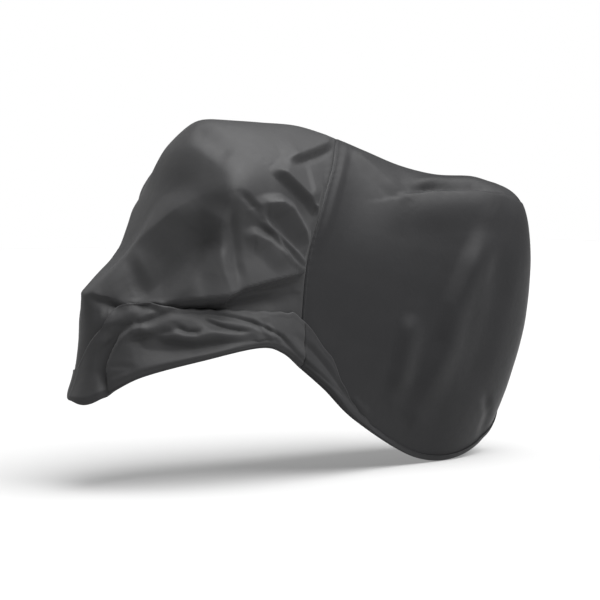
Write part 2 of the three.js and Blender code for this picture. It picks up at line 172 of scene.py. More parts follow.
FRONT_CREASES = (
    Crease("apron edge over the skirt",
           ((-500, 708), (-375, 716), (-274, 726), (-218, 755), (-124, 779), (-30, 801), (34, 808)),
           (220, 24), 50, (0.15, 0.45), 0.6, 0.7),
    Crease("set back under the apron", ((-400, 676), (-216, 700), (-37, 728)),
           (30, 70), -16, (0.3, 0.5), 0.4),
    Crease("shoulder down to the nose tip",
           ((-350, 1093), (-397, 1066), (-458, 1022), (-549, 946), (-646, 855), (-716, 797), (-770, 750)),
           (90, 80), 22, (0.2, 0.3), 0.6, 0.6),
    Crease("hollow below the shoulder",
           ((-290, 1020), (-340, 940), (-410, 860), (-490, 790), (-580, 725), (-650, 695)),
           (90, 120), -44, (0.2, 0.6), 0.6, 0.2),
    Crease("hollow running on to the nose", ((-560, 845), (-620, 805), (-690, 760), (-755, 720)),
           (120, 90), -20, (0.2, 0.6), 0.6),
    Crease("soft edge left of the upright ridge", ((-302, 948), (-362, 858), (-424, 775), (-449, 724)),
           (70, 40), -6, (0.2, 0.4), 0.3, 0.2),
    Crease("upright ridge",
           ((-258, 1066), (-288, 975), (-292, 886), (-288, 813), (-272, 740)),
           (36, 90), 18, (0.1, 0.8), 0, 0.3),
    Crease("dip behind the upright ridge", ((-246, 1040), (-240, 950), (-243, 850), (-232, 757)),
           (30, 22), -10, (0.2, 0.3)),
    Crease("shelf over the wedge at the seam", ((146, 1304), (79, 1276), (5, 1243), (-71, 1217)),
           (30, 90), 24, (0.5, 0.1), 0.4, 0.8),
    Crease("hollow under the shelf", ((110, 1268), (60, 1244), (10, 1224), (-50, 1208)),
           (34, 16), -9, (0.4, 0.1), 0.4, 0.4),
    Crease("pleat under the pale facet",
           ((-110, 1200), (-53, 1152), (-9, 1111), (27, 1076), (53, 1039)),
           (110, 24), 34, (0.05, 0.5), 0.3, 0.8),
    Crease("edge in the pale facet", ((40, 1206), (43, 1133), (46, 1064)),
           (60, 26), 6, (0.4, 0.4), 0, 0.3),
    Crease("tuck at the seam", ((84, 1046), (66, 1032), (44, 1052)),
           (10, 12), 8, (0.5, 0.2), 0, 0.5),
    Crease("pleat over the dark lobe",
           ((-145, 1054), (-122, 1063), (-79, 1062), (-45, 1039), (-19, 995), (6, 946), (24, 904)),
           (36, 60), 36, (0.3, 0.4), 0.2, 0.8),
    Crease("pleat under the dark lobe",
           ((-145, 1032), (-114, 978), (-73, 928), (-15, 861), (20, 824)),
           (16, 30), 20, (0.3, 0.4), 0, 0.8),
    Crease("low pleat to the apron corner",
           ((-159, 1002), (-135, 990), (-101, 950), (-79, 892), (-44, 847), (-9, 818), (22, 807)),
           (12, 20), 10, (0.2, 0.5), 0, 0.7),
    Crease("low wedge over the apron",
           ((-215, 930), (-170, 949), (-121, 922), (-86, 876), (-45, 827)),
           (34, 70), 20, (0.1, 0.3), 0, 0.6),
    Crease("curl under the front point",
           ((-215, 1101), (-189, 1082), (-155, 1038), (-137, 1017)),
           (20, 24), -12, (0.2, 0.3), 0, 0.5),
    Crease("dip in the top", ((-397, 1339), (-326, 1291), (-246, 1227)),
           (60, 60), -9, (0.4, 0.2), 0.4, 0.1),
    Crease("line from the nose tip", ((-778, 737), (-735, 714), (-674, 693), (-640, 684)),
           (26, 30), -13, (0.6, 0.3), 0.3, 0.6),
    Crease("valley beside the nose flap",
           ((-600, 650), (-645, 600), (-668, 556), (-682, 500), (-692, 450), (-688, 380)),
           (34, 26), -10, (0.4, 0.7), 0.3, 0.4),
    Crease("dark fold behind the knot", ((-596, 716), (-540, 712), (-478, 700)),
           (20, 16), 7, (0.5, 0.2), 0, 0.5),
)
REAR_CREASES = (
    Crease("flat strip behind the seam", ((186, 1296), (152, 1150), (118, 1030), (76, 900)),
           (28, 26), 4, (0.7, 0.2), 0.6, 0.5),
    Crease("edge of the top, falling", ((190, 1284), (287, 1194), (362, 1127), (402, 1092)),
           (70, 44), 11, (0.1, 0.3), 0.7, 0.6),
    Crease("edge of the top, level", ((396, 1084), (520, 1100), (682, 1105), (819, 1088), (880, 1072)),
           (18, 160), 14, (0.5, 0.3), 0.7, 0.4),
    Crease("hollow of the rear top", ((425, 1108), (550, 1121), (700, 1124), (800, 1108)),
           (36, 16), -20, (0.1, 0.2), 0.7, 0.4),
    Crease("rim of the rear top", ((430, 1146), (550, 1158), (700, 1160), (800, 1146)),
           (30, 34), 9, (0.2, 0.2), 0.7, 0.3),
    Crease("soft ridge below the rear top", ((434, 648), (414, 533), (393, 427), (357, 319)),
           (80, 56), 17, (0.1, 0.2), 0, 0.1),
    Crease("long soft ridge from the tail",
           ((760, 985), (674, 795), (615, 660), (576, 504), (513, 375), (455, 250)),
           (110, 70), 24, (0.1, 0.3), 0.6, 0.1),
    Crease("hollow beside the tail ridge", ((830, 940), (790, 700), (730, 480), (650, 280)),
           (90, 70), -9, (0.1, 0.2), 0.4, 0.0),
    Crease("small crease at the low tail", ((752, 300), (770, 200), (742, 110)),
           (30, 34), -8, (0.2, 0.5), 0.3, 0.2),
    Crease("fold beside the skirt's end", ((196, 330), (228, 290), (262, 262)),
           (16, 20), 5, (0.2, 0.3), 0, 0.5),
)
SKIRT_CREASES = (
    Crease("valley beside the nose roll",
           ((-607, 621), (-648, 590), (-669, 546), (-684, 498), (-690, 459), (-677, 405)),
           (16, 50), -26, (0.5, 0.8), 0, 0.6),
    Crease("crest right of the valley",
           ((-590, 603), (-631, 570), (-656, 540), (-671, 501), (-677, 470), (-676, 420)),
           (90, 16), 22, (0.3, 0.6), 0, 0.6),
    Crease("knob at the skirt's corner", ((-604, 604), (-578, 614), (-545, 618)),
           (22, 26), 12, (0.5, 0.1), 0, 0.3),
    Crease("first line on the nose roll", ((-729, 597), (-700, 612), (-654, 624), (-617, 622)),
           (14, 24), -12, (0.3, 0.5), 0, 0.7),
    Crease("ridge on the nose roll", ((-724, 565), (-692, 566), (-648, 590), (-609, 603)),
           (24, 24), 9, (0.3, 0.3), 0, 0.5),
    Crease("eyebrow fold", ((-606, 708), (-561, 709), (-508, 693), (-471, 677)),
           (14, 20), 11, (0.4, 0.3), 0, 0.7),
    Crease("hollow under the eyebrow fold", ((-596, 690), (-551, 687), (-500, 676)),
           (16, 20), -10, (0.3, 0.3), 0, 0.5),
    Crease("upper edge of the main roll",
           ((-611, 628), (-565, 636), (-521, 655), (-478, 673), (-416, 685), (-331, 683)),
           (14, 34), -16, (0.4, 0.1), 0, 0.7),
    Crease("hollow under the knob", ((-595, 597), (-541, 587), (-489, 600), (-452, 606)),
           (20, 26), -14, (0.3, 0.2), 0, 0.6),
    Crease("low fold at the left", ((-669, 473), (-629, 478), (-577, 470)),
           (16, 20), -7, (0.3, 0.2), 0, 0.4),
    Crease("lowest fold at the left", ((-671, 436), (-631, 452), (-578, 459)),
           (14, 16), -6, (0.3, 0.2), 0, 0.3),
    Crease("waist of the skirt",
           ((-646, 556), (-593, 573), (-537, 571), (-445, 553), (-374, 545), (-298, 554), (-191, 560)),
           (28, 120), -32, (0.3, 0.3), 0, 0.6),
    Crease("roll above the waist", ((-480, 585), (-445, 590), (-380, 580), (-330, 590), (-250, 592)),
           (26, 22), 8, (0.3, 0.2), 0, 0.4),
    Crease("gathering line",
           ((-420, 662), (-372, 662), (-313, 657), (-240, 644), (-184, 627), (-83, 571),
            (-27, 500), (60, 420), (140, 345)),
           (12, 22), -11, (0.4, 0.2), 0, 0.7),
    Crease("first slanting fold", ((-449, 625), (-410, 598), (-357, 596)),
           (14, 26), -12, (0.3, 0.1), 0, 0.7),
    Crease("second slanting fold", ((-367, 653), (-331, 631), (-279, 608), (-188, 590)),
           (14, 28), -13, (0.3, 0.1), 0, 0.7),
    Crease("first pucker", ((-170, 628), (-136, 588), (-110, 560)),
           (16, 16), 8, (0.3, 0.2), 0, 0.5),
    Crease("second pucker", ((-130, 610), (-104, 572), (-84, 548)),
           (14, 14), 7, (0.3, 0.2), 0, 0.5),
    Crease("roll down the rising skirt", ((-27, 570), (32, 516), (82, 454), (126, 392), (183, 307)),
           (22, 26), -8, (0.3, 0.2), 0, 0.6),
    Crease("edge of the rising skirt", ((-60, 560), (-10, 500), (50, 425), (110, 350), (190, 275)),
           (24, 20), 6, (0.3, 0.2), 0, 0.4),
)


def smooth_step(t: np.ndarray) -> np.ndarray:
    """An even rise from 0 to 1."""
    held = np.clip(t, 0.0, 1.0)
    return held * held * (3 - 2 * held)


def through(a: np.ndarray, b: np.ndarray, c: np.ndarray, d: np.ndarray, t: np.ndarray) -> np.ndarray:
    """Catmull-Rom between two points.

    Args:
        a: the point before them.
        b: the first of them.
        c: the second.
        d: the point after them.
        t: how far to go from the first to the second, 0 to 1.

    Returns:
        The points found.
    """
    square = 2 * a - 5 * b + 4 * c - d
    cube = -a + 3 * b - 3 * c + d
    return 0.5 * (2 * b + (c - a) * t + square * t**2 + cube * t**3)


def across_view(points: np.ndarray) -> np.ndarray:
    """How far across the quarter view each point lies."""
    return points[:, 0] * math.cos(QUARTER_VIEW) - points[:, 1] * math.sin(QUARTER_VIEW)


def unit(vectors: np.ndarray) -> np.ndarray:
    """Each row at length 1."""
    return vectors / np.maximum(np.linalg.norm(vectors, axis=1, keepdims=True), 1e-12)


def add_object(name: str, data: bpy.types.ID) -> bpy.types.Object:
    """A new object that shows in the scene.

    Args:
        name: its name.
        data: its mesh, light or camera.

    Returns:
        The object.
    """
    made = bpy.data.objects.new(name, data)
    bpy.context.scene.collection.objects.link(made)
    return made


def add_node(tree: bpy.types.NodeTree, kind: str, **inputs: object) -> bpy.types.Node:
    """A new node with some of its inputs set.

    Args:
        tree: the tree that it joins.
        kind: its type.
        inputs: values by input name, with an underscore for each space.

    Returns:
        The node.
    """
    made = tree.nodes.new(kind)
    for name, value in inputs.items():
        made.inputs[name.replace("_", " ")].default_value = value
    return made


def crease_height(creases: tuple[Crease, ...], side: Side, points: np.ndarray) -> np.ndarray:
    """How far the creases lift the cloth at each point, in millimetres.

    Args:
        creases: the creases that may reach the points.
        side: the side that the points are on.
        points: places on the near side, in millimetres.

    Returns:
        One height for each point.
    """
    across, height = across_view(points), points[:, 2]
    total = np.zeros(len(points))
    for crease in creases:
        share = 1.0 if side is Side.NEAR else crease.far
        if share == 0:
            continue
        best = np.full(len(points), np.inf)
        leftward = np.zeros(len(points))
        along = np.zeros(len(points))
        passed = 0.0
        for (x0, z0), (x1, z1) in zip(crease.line, crease.line[1:]):
            length = math.hypot(x1 - x0, z1 - z0)
            dx, dz = (x1 - x0) / length, (z1 - z0) / length
            run = np.clip((across - x0) * dx + (height - z0) * dz, 0, length)
            off_x, off_z = across - x0 - run * dx, height - z0 - run * dz
            distance = np.hypot(off_x, off_z)
            nearer = distance < best
            best = np.where(nearer, distance, best)
            leftward = np.where(nearer, dx * off_z - dz * off_x, leftward)
            along = np.where(nearer, passed + run, along)
            passed += length
        reach = np.where(leftward > 0, crease.wide[0], crease.wide[1])
        t = np.clip(best / reach, 0, 1)
        wave = 0.5 + 0.5 * np.cos(math.pi * t)
        tent = (1 - t) ** 1.25
        ends = np.minimum(
            crease.ends[0] + (1 - crease.ends[0]) * smooth_step(along / passed / Drape.END_RUN),
            crease.ends[1] + (1 - crease.ends[1]) * smooth_step((1 - along / passed) / Drape.END_RUN),
        )
        total += crease.out * share * ends * (wave * (1 - crease.sharp) + tent * crease.sharp)
    return total


@dataclass
class Drape:
    """The form in which the cloth hangs: its smooth wall, its creases and its turned-up skirt.

    A place on it is a loop position s, which is a section's number plus a share of the way to the
    next, and a depth v, which is 0 on the ridge and 5 at the bottom fold. Sizes are in millimetres.
    """

    END_RUN = 0.25

    hem_radius: float = 1.6
    skirt_radius: float = 4.0
    middle_fade: float = 60.0
    seam_fade: float = 0.3
    rim_wave_depth: float = 0.012
    rim_wave_pitch: float = 74.0
    full_bulge: float = 10.0
    puff_start: float = 0.42
    puff_end: float = 0.13
    puff_rise: float = 0.07
    skirt_clearance: float = 1.0
    ridge_pull: float = 1.15
    wander: float = 2.6
    slow_pitch: tuple[float, float] = (83.0, 121.0)
    small_pitch: tuple[float, float] = (31.0, 39.0)
    seam_scale: float = 120.0
    pucker: float = 0.6
    pucker_pitch: float = 5.1
    pucker_offset: float = 12.0
    pucker_spread: float = 14.0
    groove_depth: float = 1.6
    groove_width: float = 5.0
    felled_lift: float = 0.7
    felled_width: float = 13.0
    gather_pitch: float = 4.3
    gather_height: float = 0.3

    def __post_init__(self) -> None:
        """Lays the sections out as one array, with a mirrored one past either end."""
        rows = []
        for section in SECTIONS:
            ridge = (section.ridge[0], 0.0, section.ridge[1])
            rows.append([(x, -out, z) for x, out, z in (ridge, *section.levels)])
        mirror = np.array([1.0, -1.0, 1.0])
        rows = np.array(rows, float)
        self.points = np.concatenate([rows[1:2] * mirror, rows, rows[-2:-1] * mirror])

    def value(self, name: str, s: np.ndarray) -> np.ndarray:
        """One of the sections' plain numbers at each loop position.

        Args:
            name: which number.
            s: loop positions.

        Returns:
            The number at each.
        """
        numbers = np.array([getattr(section, name) for section in SECTIONS], float)
        i = np.clip(np.floor(s).astype(int), 0, TAIL_SECTION - 1)
        return numbers[i] + (numbers[i + 1] - numbers[i]) * smooth_step(s - i)

    def smooth_wall(self, s: np.ndarray, v: np.ndarray) -> np.ndarray:
        """Points of the wall before it is creased.

        Args:
            s: loop positions.
            v: depths.

        Returns:
            The points.
        """
        held = np.clip(s, 0, TAIL_SECTION)
        i = np.minimum(np.floor(held).astype(int), TAIL_SECTION - 1)
        t = (held - i)[:, None, None]
        sections = through(*(self.points[i + step] for step in range(4)), t)
        k = np.clip(np.floor(v).astype(int), 0, HEM_LEVEL - 1)
        t = (v - k)[:, None]
        rows = np.arange(len(v))
        crisp = self.value("crisp", held)

        def slope(level: np.ndarray) -> np.ndarray:
            """The section's direction at an inner level.

            Args:
                level: the level asked for, one for each point.

            Returns:
                One direction for each point.
            """
            share = np.where(level == LOWER_LEVEL, 0.5 * (1 - crisp), 0.5)[:, None]
            below = np.minimum(level + 1, HEM_LEVEL)
            above = np.maximum(level - 1, 0)
            return (sections[rows, below] - sections[rows, above]) * share

        top = (sections[:, 1] - sections[:, 0]) * self.ridge_pull
        top[:, 2] = 0
        start = np.where((k == 0)[:, None], top, slope(k))
        last = sections[:, HEM_LEVEL] - sections[:, HEM_LEVEL - 1]
        last[:, 0] -= self.value("flare", held)
        end = np.where((k == HEM_LEVEL - 1)[:, None], last, slope(k + 1))
        return (
            sections[rows, k] * (2 * t**3 - 3 * t**2 + 1)
            + start * (t**3 - 2 * t**2 + t)
            + sections[rows, k + 1] * (-2 * t**3 + 3 * t**2)
            + end * (t**3 - t**2)
        )

    def directions(self, s: np.ndarray, v: np.ndarray) -> tuple[np.ndarray, np.ndarray]:
        """Which way the smooth wall faces, and which way is down it.

        Args:
            s: loop positions.
            v: depths.

        Returns:
            The outward directions, and the directions down the wall.
        """
        reach = 0.02
        along = self.smooth_wall(s + reach, v) - self.smooth_wall(s - reach, v)
        at_end = (s < reach) | (s > TAIL_SECTION - reach)
        end_way = np.stack([0 * s, np.where(s < reach, -1.0, 1.0), 0 * s], axis=1)
        along = np.where(at_end[:, None], end_way, along)
        down = self.smooth_wall(s, np.minimum(v + reach, HEM_LEVEL))
        down = unit(down - self.smooth_wall(s, np.maximum(v - reach, 0)))
        outward = np.cross(down, along)
        flat = np.linalg.norm(outward, axis=1) < 1e-6
        outward[flat] = (0, 0, 1)
        return unit(outward), down

    def unevenness(self, points: np.ndarray, s: np.ndarray) -> np.ndarray:
        """Slow waves of slack cloth, a few millimetres deep, from sines of unlike pitch.

        Args:
            points: places on the near side, in millimetres.
            s: their loop positions.

        Returns:
            One height for each point.
        """
        across, height = across_view(points), points[:, 2]
        slow = np.sin(across / self.slow_pitch[0] + 1.3 * np.sin(height / 160))
        slow *= np.sin(height / self.slow_pitch[1] + 0.7)
        small = np.sin(across / self.small_pitch[0] + height / 47 + 1.1)
        small *= np.sin(height / self.small_pitch[1] - across / 90)
        front = smooth_step((SEAM_SECTION - s) / 0.5)
        return self.wander * (0.75 * slow + (0.12 + 0.2 * front) * small)

    def seam_puckers(self, points: np.ndarray, s: np.ndarray) -> np.ndarray:
        """The groove that the thread pulls in along the seam, and the short puckers beside it.

        Args:
            points: places on the near side, in millimetres.
            s: their loop positions.

        Returns:
            One height for each point.
        """
        from_seam = np.abs(s - SEAM_SECTION) * self.seam_scale
        height = points[:, 2]
        beat = np.sin(height / self.pucker_pitch + 2.2 * np.sin(height / 37))
        beat = beat * (0.6 + 0.4 * np.sin(height / 61))
        beside = (from_seam - self.pucker_offset) / self.pucker_spread
        ripple = self.pucker * beat * np.exp(-(beside**2))
        groove = -self.groove_depth * np.exp(-((from_seam / self.groove_width) ** 2))
        felled = self.felled_lift * smooth_step((s - SEAM_SECTION) * 300)
        felled = felled * smooth_step((self.felled_width - from_seam) / 2)
        return ripple + groove + felled

    def creased_wall(self, side: Side, s: np.ndarray, v: np.ndarray) -> tuple[np.ndarray, ...]:
        """The wall with its creases, before the far side is mirrored.

        Args:
            side: the side that it is worked out for.
            s: loop positions.
            v: depths.

        Returns:
            The points, the smooth wall's outward directions, and the directions down it.
        """
        points = self.smooth_wall(s, v)
        outward, down = self.directions(s, v)
        front = crease_height(FRONT_CREASES, side, points)
        rear = crease_height(REAR_CREASES, side, points)
        height = np.where(s < SEAM_SECTION, front, rear)
        height = height * smooth_step(np.abs(s - SEAM_SECTION) / self.seam_fade)
        fade = smooth_step(-points[:, 1] / self.middle_fade)
        height = (height + self.unevenness(points, s)) * fade
        height = height + self.seam_puckers(points, s)
        return points + outward * height[:, None], outward, down

    def fullness(self, side: Side, s: np.ndarray) -> np.ndarray:
        """How full the skirt is: 0 for a plain hem, 1 for the whole turned-up roll."""
        return smooth_step(self.value("bulge", s) / self.full_bulge) if side is Side.NEAR else 0 * s

    def fold_radius(self, side: Side, s: np.ndarray) -> np.ndarray:
        """Radius of the bottom fold at each loop position."""
        return self.hem_radius + (self.skirt_radius - self.hem_radius) * self.fullness(side, s)

    def skirt(self, side: Side, s: np.ndarray, hem_depth: np.ndarray, t: np.ndarray) -> np.ndarray:
        """Points of the turned-up skirt, which follows the wall behind it.

        Args:
            side: near, where the skirt is tall, or far, where it is a plain hem.
            s: loop positions.
            hem_depth: depth of the bottom fold at each.
            t: 0 at the fold, 1 at the rim.

        Returns:
            The points.
        """
        near = side is Side.NEAR
        rim = np.interp(s, *np.array(NEAR_RIM if near else FAR_RIM).T)
        bulge = self.value("bulge", s) if near else np.zeros(len(s))
        full = self.fullness(side, s)
        hem_x = self.smooth_wall(s, hem_depth)[:, 0]
        rising = smooth_step((t - 0.5) / 0.5) * full
        turn = 2 * math.pi * hem_x / self.rim_wave_pitch + np.sin(hem_x / 55)
        wave = rising * self.rim_wave_depth * np.sin(turn)
        depth = hem_depth - (HEM_LEVEL - rim) * t - wave
        behind, outward, _ = self.creased_wall(side, s, depth)
        lift = crease_height(SKIRT_CREASES, side, behind) * np.sin(math.pi * np.clip(t, 0.02, 0.94)) ** 0.5
        crown = self.puff_start + (1 - self.puff_start - self.puff_end) * t
        puff = bulge * np.sin(math.pi * crown) * smooth_step(t / self.puff_rise)
        puff = np.maximum(puff + lift * full, self.skirt_clearance * full)
        gathers = np.sin(hem_x / self.gather_pitch + 2 * np.sin(hem_x / 31))
        gathers = gathers * np.sin(hem_x / 83 + 1) * self.gather_height
        return behind + outward * (2 * self.fold_radius(side, s) + puff + gathers * rising)[:, None]


@dataclass
class RowPlan:
    """How many mesh rows each stretch of a section gets."""

    wall: tuple[int, ...] = (22, 34, 36, 30, 26)
    fold: int = 8
    skirt: int = 34

    @property
    def wall_count(self) -> int:
        """Rows of the wall alone."""
        return sum(self.wall)

    @property
    def count(self) -> int:
        """All rows."""
        return self.wall_count + self.fold + self.skirt

    def depth(self, rows: np.ndarray) -> np.ndarray:
        """Depth v of each wall row."""
        ends = np.concatenate([[0], np.cumsum(self.wall)])
        return np.interp(rows, ends, np.arange(len(ends)))


@dataclass
class CoverCloth:
    """The two panels of cloth, each a closed sheet with its outer and inner face."""

    drape: Drape
    rows: RowPlan = field(default_factory=RowPlan)
    thickness: float = 2.0
    hem_extra: float = 0.7
    hem_band: float = 0.12
    hem_edge: float = 0.03
    seam_gap: float = 0.5
    skirt_height: float = 150.0
    stitch_lift: float = 0.1
    hem_stitch_row: int = 32
    guides: dict[str, np.ndarray] = field(default_factory=dict)

    def __post_init__(self) -> None:
        """Works out the loop positions of the mesh columns."""
        spans = [np.arange(sec.columns) / max(sec.columns, 1) + i for i, sec in enumerate(SECTIONS)]
        self.columns = np.concatenate([*spans, [float(TAIL_SECTION)]])
        self.seam_column = int(np.argmin(np.abs(self.columns - SEAM_SECTION)))

    def grid(self, side: Side) -> np.ndarray:
        """Every mesh point of one side, in millimetres.

        Args:
            side: which side.

        Returns:
            The points, as an array by column and row.
        """
        rows = np.arange(self.rows.count + 1)
        s, row = (part.ravel() for part in np.meshgrid(self.columns, rows, indexing="ij"))
        keep = np.ones(len(s)) if side is Side.NEAR else self.drape.value("far_keep", s)
        hem_depth = HEM_LEVEL * keep
        found = np.zeros((len(s), 3))
        wall = row <= self.rows.wall_count
        skirt = row > self.rows.wall_count + self.rows.fold
        fold = ~wall & ~skirt
        depth = self.rows.depth(row[wall]) * keep[wall]
        found[wall], _, _ = self.drape.creased_wall(side, s[wall], depth)
        hem, outward, down = self.drape.creased_wall(side, s[fold], hem_depth[fold])
        turn = (math.pi * (row[fold] - self.rows.wall_count) / self.rows.fold)[:, None]
        radius = self.drape.fold_radius(side, s[fold])[:, None]
        found[fold] = hem + outward * radius * (1 - np.cos(turn)) + down * radius * np.sin(turn)
        t = (row[skirt] - self.rows.wall_count - self.rows.fold) / self.rows.skirt
        found[skirt] = self.drape.skirt(side, s[skirt], hem_depth[skirt], t)
        if side is Side.FAR:
            found[:, 1] *= -1
        return found.reshape(len(self.columns), len(rows), 3)

    def outer_face(self) -> tuple[np.ndarray, np.ndarray, list[tuple[int, ...]], list[int]]:
        """The whole outer face, near and far side, as one mesh.

        The far side has half the columns and rows. On the ridge, the nose and the tail it takes
        the near side's points.

        Returns:
            The points, each point's column and row, the faces, and each face's column.
        """
        near, far = self.grid(Side.NEAR), self.grid(Side.FAR)
        columns, rows = near.shape[:2]
        near_number = np.arange(columns * rows).reshape(columns, rows)
        places = [(i, j) for i in range(columns) for j in range(rows)]
        points = [near.reshape(-1, 3)]
        far_number = near_number.copy()
        kept = columns * rows
        for i in range(2, columns - 2, 2):
            inner = np.arange(2, rows, 2)
            far_number[i, inner] = kept + np.arange(len(inner))
            kept += len(inner)
            points.append(far[i, inner])
            places.extend((i, int(j)) for j in inner)
        faces, face_columns = [], []
        for i in range(columns - 1):
            for j in range(rows - 1):
                faces.append(tuple(int(near_number[p]) for p in
                                   ((i, j), (i, j + 1), (i + 1, j + 1), (i + 1, j))))
                face_columns.append(i)
        for i in range(0, columns - 1, 2):
            for j in range(0, rows - 1, 2):
                ring = [(i, j)]
                ring += [(i + 1, j)] if j == 0 else []
                ring += [(i + 2, j)]
                ring += [(i + 2, j + 1)] if i + 2 == columns - 1 else []
                ring += [(i + 2, j + 2), (i, j + 2)]
                ring += [(i, j + 1)] if i == 0 else []
                faces.append(tuple(int(far_number[p]) for p in ring))
                face_columns.append(i)
        return np.concatenate(points), np.array(places), faces, face_columns

    def hem_share(self, places: np.ndarray) -> np.ndarray:
        """Where the cloth is doubled for the hem at the rim.

        Args:
            places: each point's column and row.

        Returns:
            1 on the doubled cloth, 0 elsewhere.
        """
        skirt_start = self.rows.wall_count + self.rows.fold
        t = (places[:, 1] - skirt_start) / self.rows.skirt
        return smooth_step((t - (1 - self.hem_band)) / self.hem_edge)

    def build(self) -> dict[Panel, bpy.types.Object]:
        """Makes both panels.

        Returns:
            Each panel's object.
        """
        points, places, faces, face_columns = self.outer_face()
        normals = self.normals(points, faces)
        made = {}
        for panel in Panel:
            wanted = [f for f, c in zip(faces, face_columns)
                      if (c < self.seam_column) == (panel is Panel.FRONT)]
            made[panel] = self.panel(panel, points, places, normals, wanted)
        self.lay_guides(points, places, normals)
        return made

    def lay_guides(self, points: np.ndarray, places: np.ndarray, normals: np.ndarray) -> None:
        """Notes where the seam's and the hem's stitching run on the outer face.

        Args:
            points: the outer face's points.
            places: their columns and rows.
            normals: their outward directions.
        """
        extra = self.hem_share(places)[:, None] * self.hem_extra
        lifted = points + normals * (extra + self.stitch_lift)
        far = points[:, 1] > 0
        near_seam = (places[:, 0] == self.seam_column + 2) & ~far
        far_seam = (places[:, 0] == self.seam_column + 2) & far
        hem_row = self.rows.wall_count + self.rows.fold + self.hem_stitch_row
        near_hem = (places[:, 1] == hem_row) & ~far
        far_hem = (places[:, 1] == hem_row) & far
        down, along = places[:, 1], places[:, 0]
        for name, parts in (("seam", ((near_seam, -down), (far_seam, down))),
                            ("hem", ((near_hem, along), (far_hem, -along)))):
            runs = [lifted[wanted][np.argsort(order[wanted])] for wanted, order in parts]
            self.guides[name] = (np.concatenate(runs) - BOX_FOOT) * MM

    @staticmethod
    def normals(points: np.ndarray, faces: list[tuple[int, ...]]) -> np.ndarray:
        """Each point's outward direction, from the faces round it.

        Args:
            points: the outer face's points.
            faces: the outer faces.

        Returns:
            One direction for each point.
        """
        total = np.zeros_like(points)
        for size in sorted({len(face) for face in faces}):
            some = np.array([face for face in faces if len(face) == size])
            for k in range(1, size - 1):
                a, b, c = points[some[:, 0]], points[some[:, k]], points[some[:, k + 1]]
                normal = np.cross(b - a, c - a)
                for corner in (0, k, k + 1):
                    np.add.at(total, some[:, corner], normal)
        return unit(total)

    def panel(self, panel: Panel, points: np.ndarray, places: np.ndarray, normals: np.ndarray,
              faces: list[tuple[int, ...]]) -> bpy.types.Object:
        """One panel as a closed sheet.

        Args:
            panel: which of the two.
            points: the outer face's points.
            places: their columns and rows.
            normals: their outward directions.
            faces: the outer faces that belong to the panel.

        Returns:
            The panel's object, named cloth_front or cloth_rear.
        """
        used = sorted({number for face in faces for number in face})
        renumber = {old: new for new, old in enumerate(used)}
        outer = points[used].copy()
        direction = normals[used]
        extra = self.hem_share(places[used])[:, None] * self.hem_extra
        away = -1 if panel is Panel.FRONT else 1
        on_seam = places[used][:, 0] == self.seam_column
        outer[on_seam, 0] += away * self.seam_gap / 2
        inner = outer - direction * (self.thickness + extra)
        outer = outer + direction * extra
        renumbered = [tuple(renumber[n] for n in face) for face in faces]
        under = len(used)
        edges = {(face[k], face[(k + 1) % len(face)]) for face in renumbered for k in range(len(face))}
        rim = [(b, a, under + a, under + b) for a, b in edges if (b, a) not in edges]
        below = [tuple(under + n for n in reversed(face)) for face in renumbered]
        rim.sort()
        every = (np.concatenate([outer, inner]) - BOX_FOOT) * MM
        name = "cloth_front" if panel is Panel.FRONT else "cloth_rear"
        mesh = bpy.data.meshes.new(name)
        mesh.from_pydata(every.tolist(), [], renumbered + below + rim)
        mesh.validate()
        mesh.shade_smooth()
        self.write_uv(mesh, places[used], points[used])
        sides = mesh.attributes.new("underside", "FLOAT", "POINT")
        sides.data.foreach_set("value", np.repeat([0.0, 1.0], under).astype(np.float32))
        return add_object(name, mesh)

    def write_uv(self, mesh: bpy.types.Mesh, places: np.ndarray, points: np.ndarray) -> None:
        """Lays the weave along the cloth: metres round the cover, and metres down it.

        Args:
            mesh: the panel's mesh, outer points first.
            places: the outer points' columns and rows.
            points: the outer points, in millimetres; not used.
        """
        s = self.columns[places[:, 0]]
        round_about = np.interp(s, np.arange(len(SECTIONS)), self.loop_lengths())
        down = self.row_lengths()[places[:, 1]]
        pair = np.stack([round_about, down], axis=1) * MM
        pair = np.concatenate([pair, pair])
        layer = mesh.uv_layers.new(name="cloth")
        numbers = np.zeros(len(mesh.loops), int)
        mesh.loops.foreach_get("vertex_index", numbers)
        layer.data.foreach_set("uv", pair[numbers].ravel().astype(np.float32))

    def loop_lengths(self) -> np.ndarray:
        """Length round the cover at its middle level, up to each section."""
        middle = np.array([(x, out) for x, out, _ in (section.levels[2] for section in SECTIONS)])
        steps = np.linalg.norm(np.diff(middle, axis=0), axis=1)
        return np.concatenate([[0], np.cumsum(steps)])

    def row_lengths(self) -> np.ndarray:
        """Length down the cloth at the seam, up to each row."""
        s = np.full(self.rows.wall_count + 1, float(SEAM_SECTION))
        wall = self.drape.smooth_wall(s, self.rows.depth(np.arange(self.rows.wall_count + 1)))
        steps = list(np.linalg.norm(np.diff(wall, axis=0), axis=1))
        steps += [math.pi * self.drape.skirt_radius / self.rows.fold] * self.rows.fold
        steps += [self.skirt_height / self.rows.skirt] * self.rows.skirt
        return np.concatenate([[0], np.cumsum(steps)])


